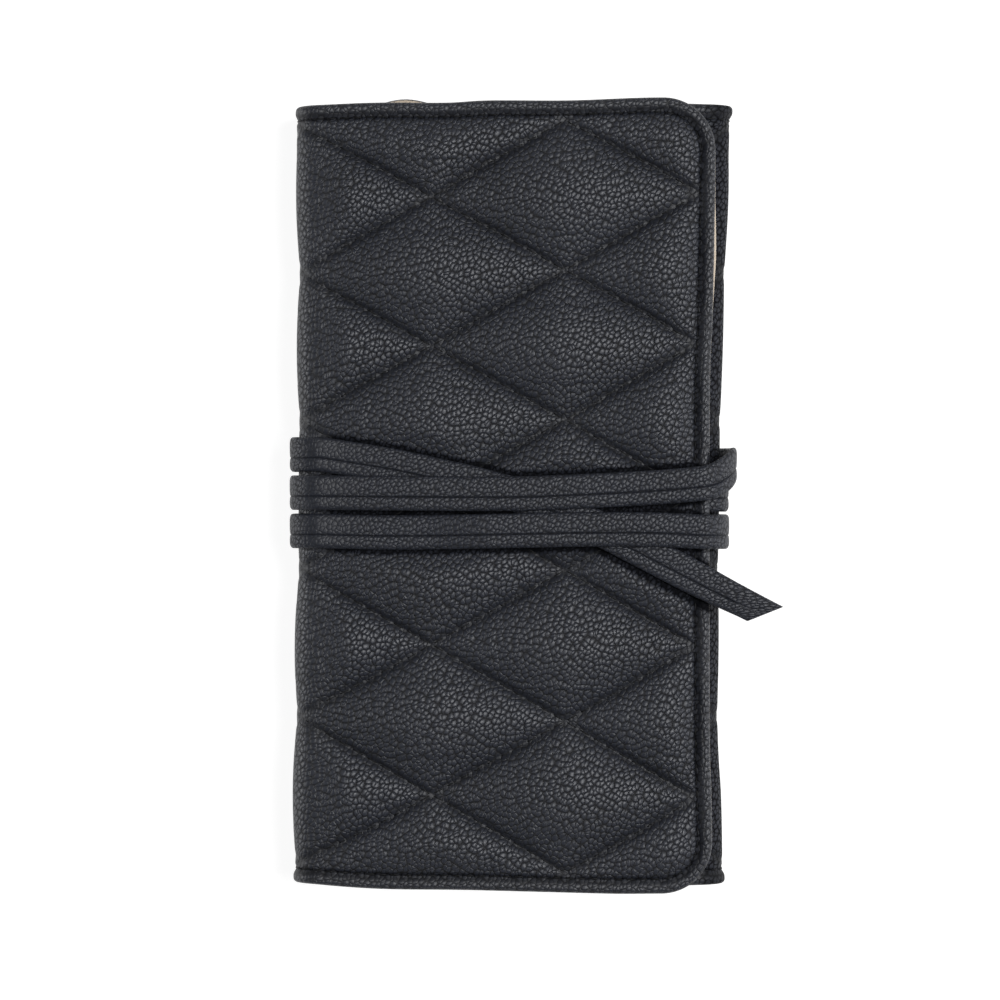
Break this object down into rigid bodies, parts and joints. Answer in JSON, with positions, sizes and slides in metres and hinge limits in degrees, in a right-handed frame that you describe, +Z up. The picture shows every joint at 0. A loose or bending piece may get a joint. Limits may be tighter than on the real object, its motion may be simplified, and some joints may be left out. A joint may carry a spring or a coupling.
{
  "type": "jewelry roll",
  "caption": "Quilted leather jewelry roll that folds in three, with a lined inside, a zip pocket, a slip pocket, ring rolls and a long tie strap wound round it to close.",
  "frame": {"origin": "on the lowest face of the back panel, under the middle of the closed roll", "axes": "+Y along the roll, +X from the left fold to the right fold, +Z up out of the flap"},
  "size_m": [0.1344, 0.216, 0.0338],
  "materials": {
    "leather": "pebbled grain, satin",
    "foam": "soft wadding",
    "lining": "brushed microsuede",
    "ring_cloth": "brushed microsuede",
    "pocket_cloth": "brushed microsuede",
    "zip_cloth": "woven tape",
    "zip_nylon": "satin",
    "zip_metal": "polished"
  },
  "bodies": {
    "back": {"back_cover": "leather", "back_foam": "foam", "back_lining": "lining", "zip_pocket_strip": "pocket_cloth", "zip_pocket_panel": "pocket_cloth", "zip_tape_left": "zip_cloth", "zip_tape_right": "zip_cloth", "zip_coil_left": "zip_nylon", "zip_coil_right": "zip_nylon", "zip_stop_top": "zip_metal", "zip_stop_bottom": "zip_metal"},
    "left_spine": {"left_fold_cover": "leather", "left_fold_lining": "lining"},
    "flap": {"flap_cover": "leather", "flap_foam": "foam", "flap_lining": "lining", "slip_pocket": "pocket_cloth", "slip_pocket_binding": "leather", "tie_strap": "leather"},
    "right_spine": {"right_fold_cover": "leather", "right_fold_lining": "lining"},
    "inner_panel": {"inner_cover": "leather", "inner_foam": "foam", "inner_lining": "lining", "ring_pad": "ring_cloth", "ring_roll_1": "ring_cloth", "ring_roll_2": "ring_cloth", "ring_roll_3": "ring_cloth", "ring_roll_4": "ring_cloth"},
    "zip_slider": {"zip_slider": "zip_metal"},
    "zip_pull": {"zip_pull": "zip_metal"}
  },
  "joints": [
    {"name": "left_fold_lower", "type": "hinge", "parent": "back", "child": "left_spine", "pos_m": [-0.0585, 0, 0.0032], "axis": [0, -1, 0], "range_deg": [0, 90], "deforming": ["tie_strap"]},
    {"name": "left_fold_upper", "type": "hinge", "parent": "left_spine", "child": "flap", "pos_m": [-0.0585, 0, 0.0276], "axis": [0, -1, 0], "range_deg": [0, 90], "deforming": ["tie_strap"]},
    {"name": "right_fold_lower", "type": "hinge", "parent": "back", "child": "right_spine", "pos_m": [0.0585, 0, 0.0032], "axis": [0, 1, 0], "range_deg": [0, 90]},
    {"name": "right_fold_upper", "type": "hinge", "parent": "right_spine", "child": "inner_panel", "pos_m": [0.0585, 0, 0.0207], "axis": [0, 1, 0], "range_deg": [0, 90]},
    {"name": "zip_slide", "type": "slide", "parent": "back", "child": "zip_slider", "axis": [0, -1, 0], "range_m": [0, 0.17]},
    {"name": "zip_pull_swing", "type": "hinge", "parent": "zip_slider", "child": "zip_pull", "pos_m": [-0.037, 0.0858, 0.013], "axis": [-1, 0, 0], "range_deg": [0, 165]}
  ],
  "couplings": [
    {"joint": "left_fold_upper", "follows": "left_fold_lower", "ratio": 1},
    {"joint": "right_fold_lower", "follows": "left_fold_lower", "ratio": 1},
    {"joint": "right_fold_upper", "follows": "left_fold_lower", "ratio": 1}
  ]
}
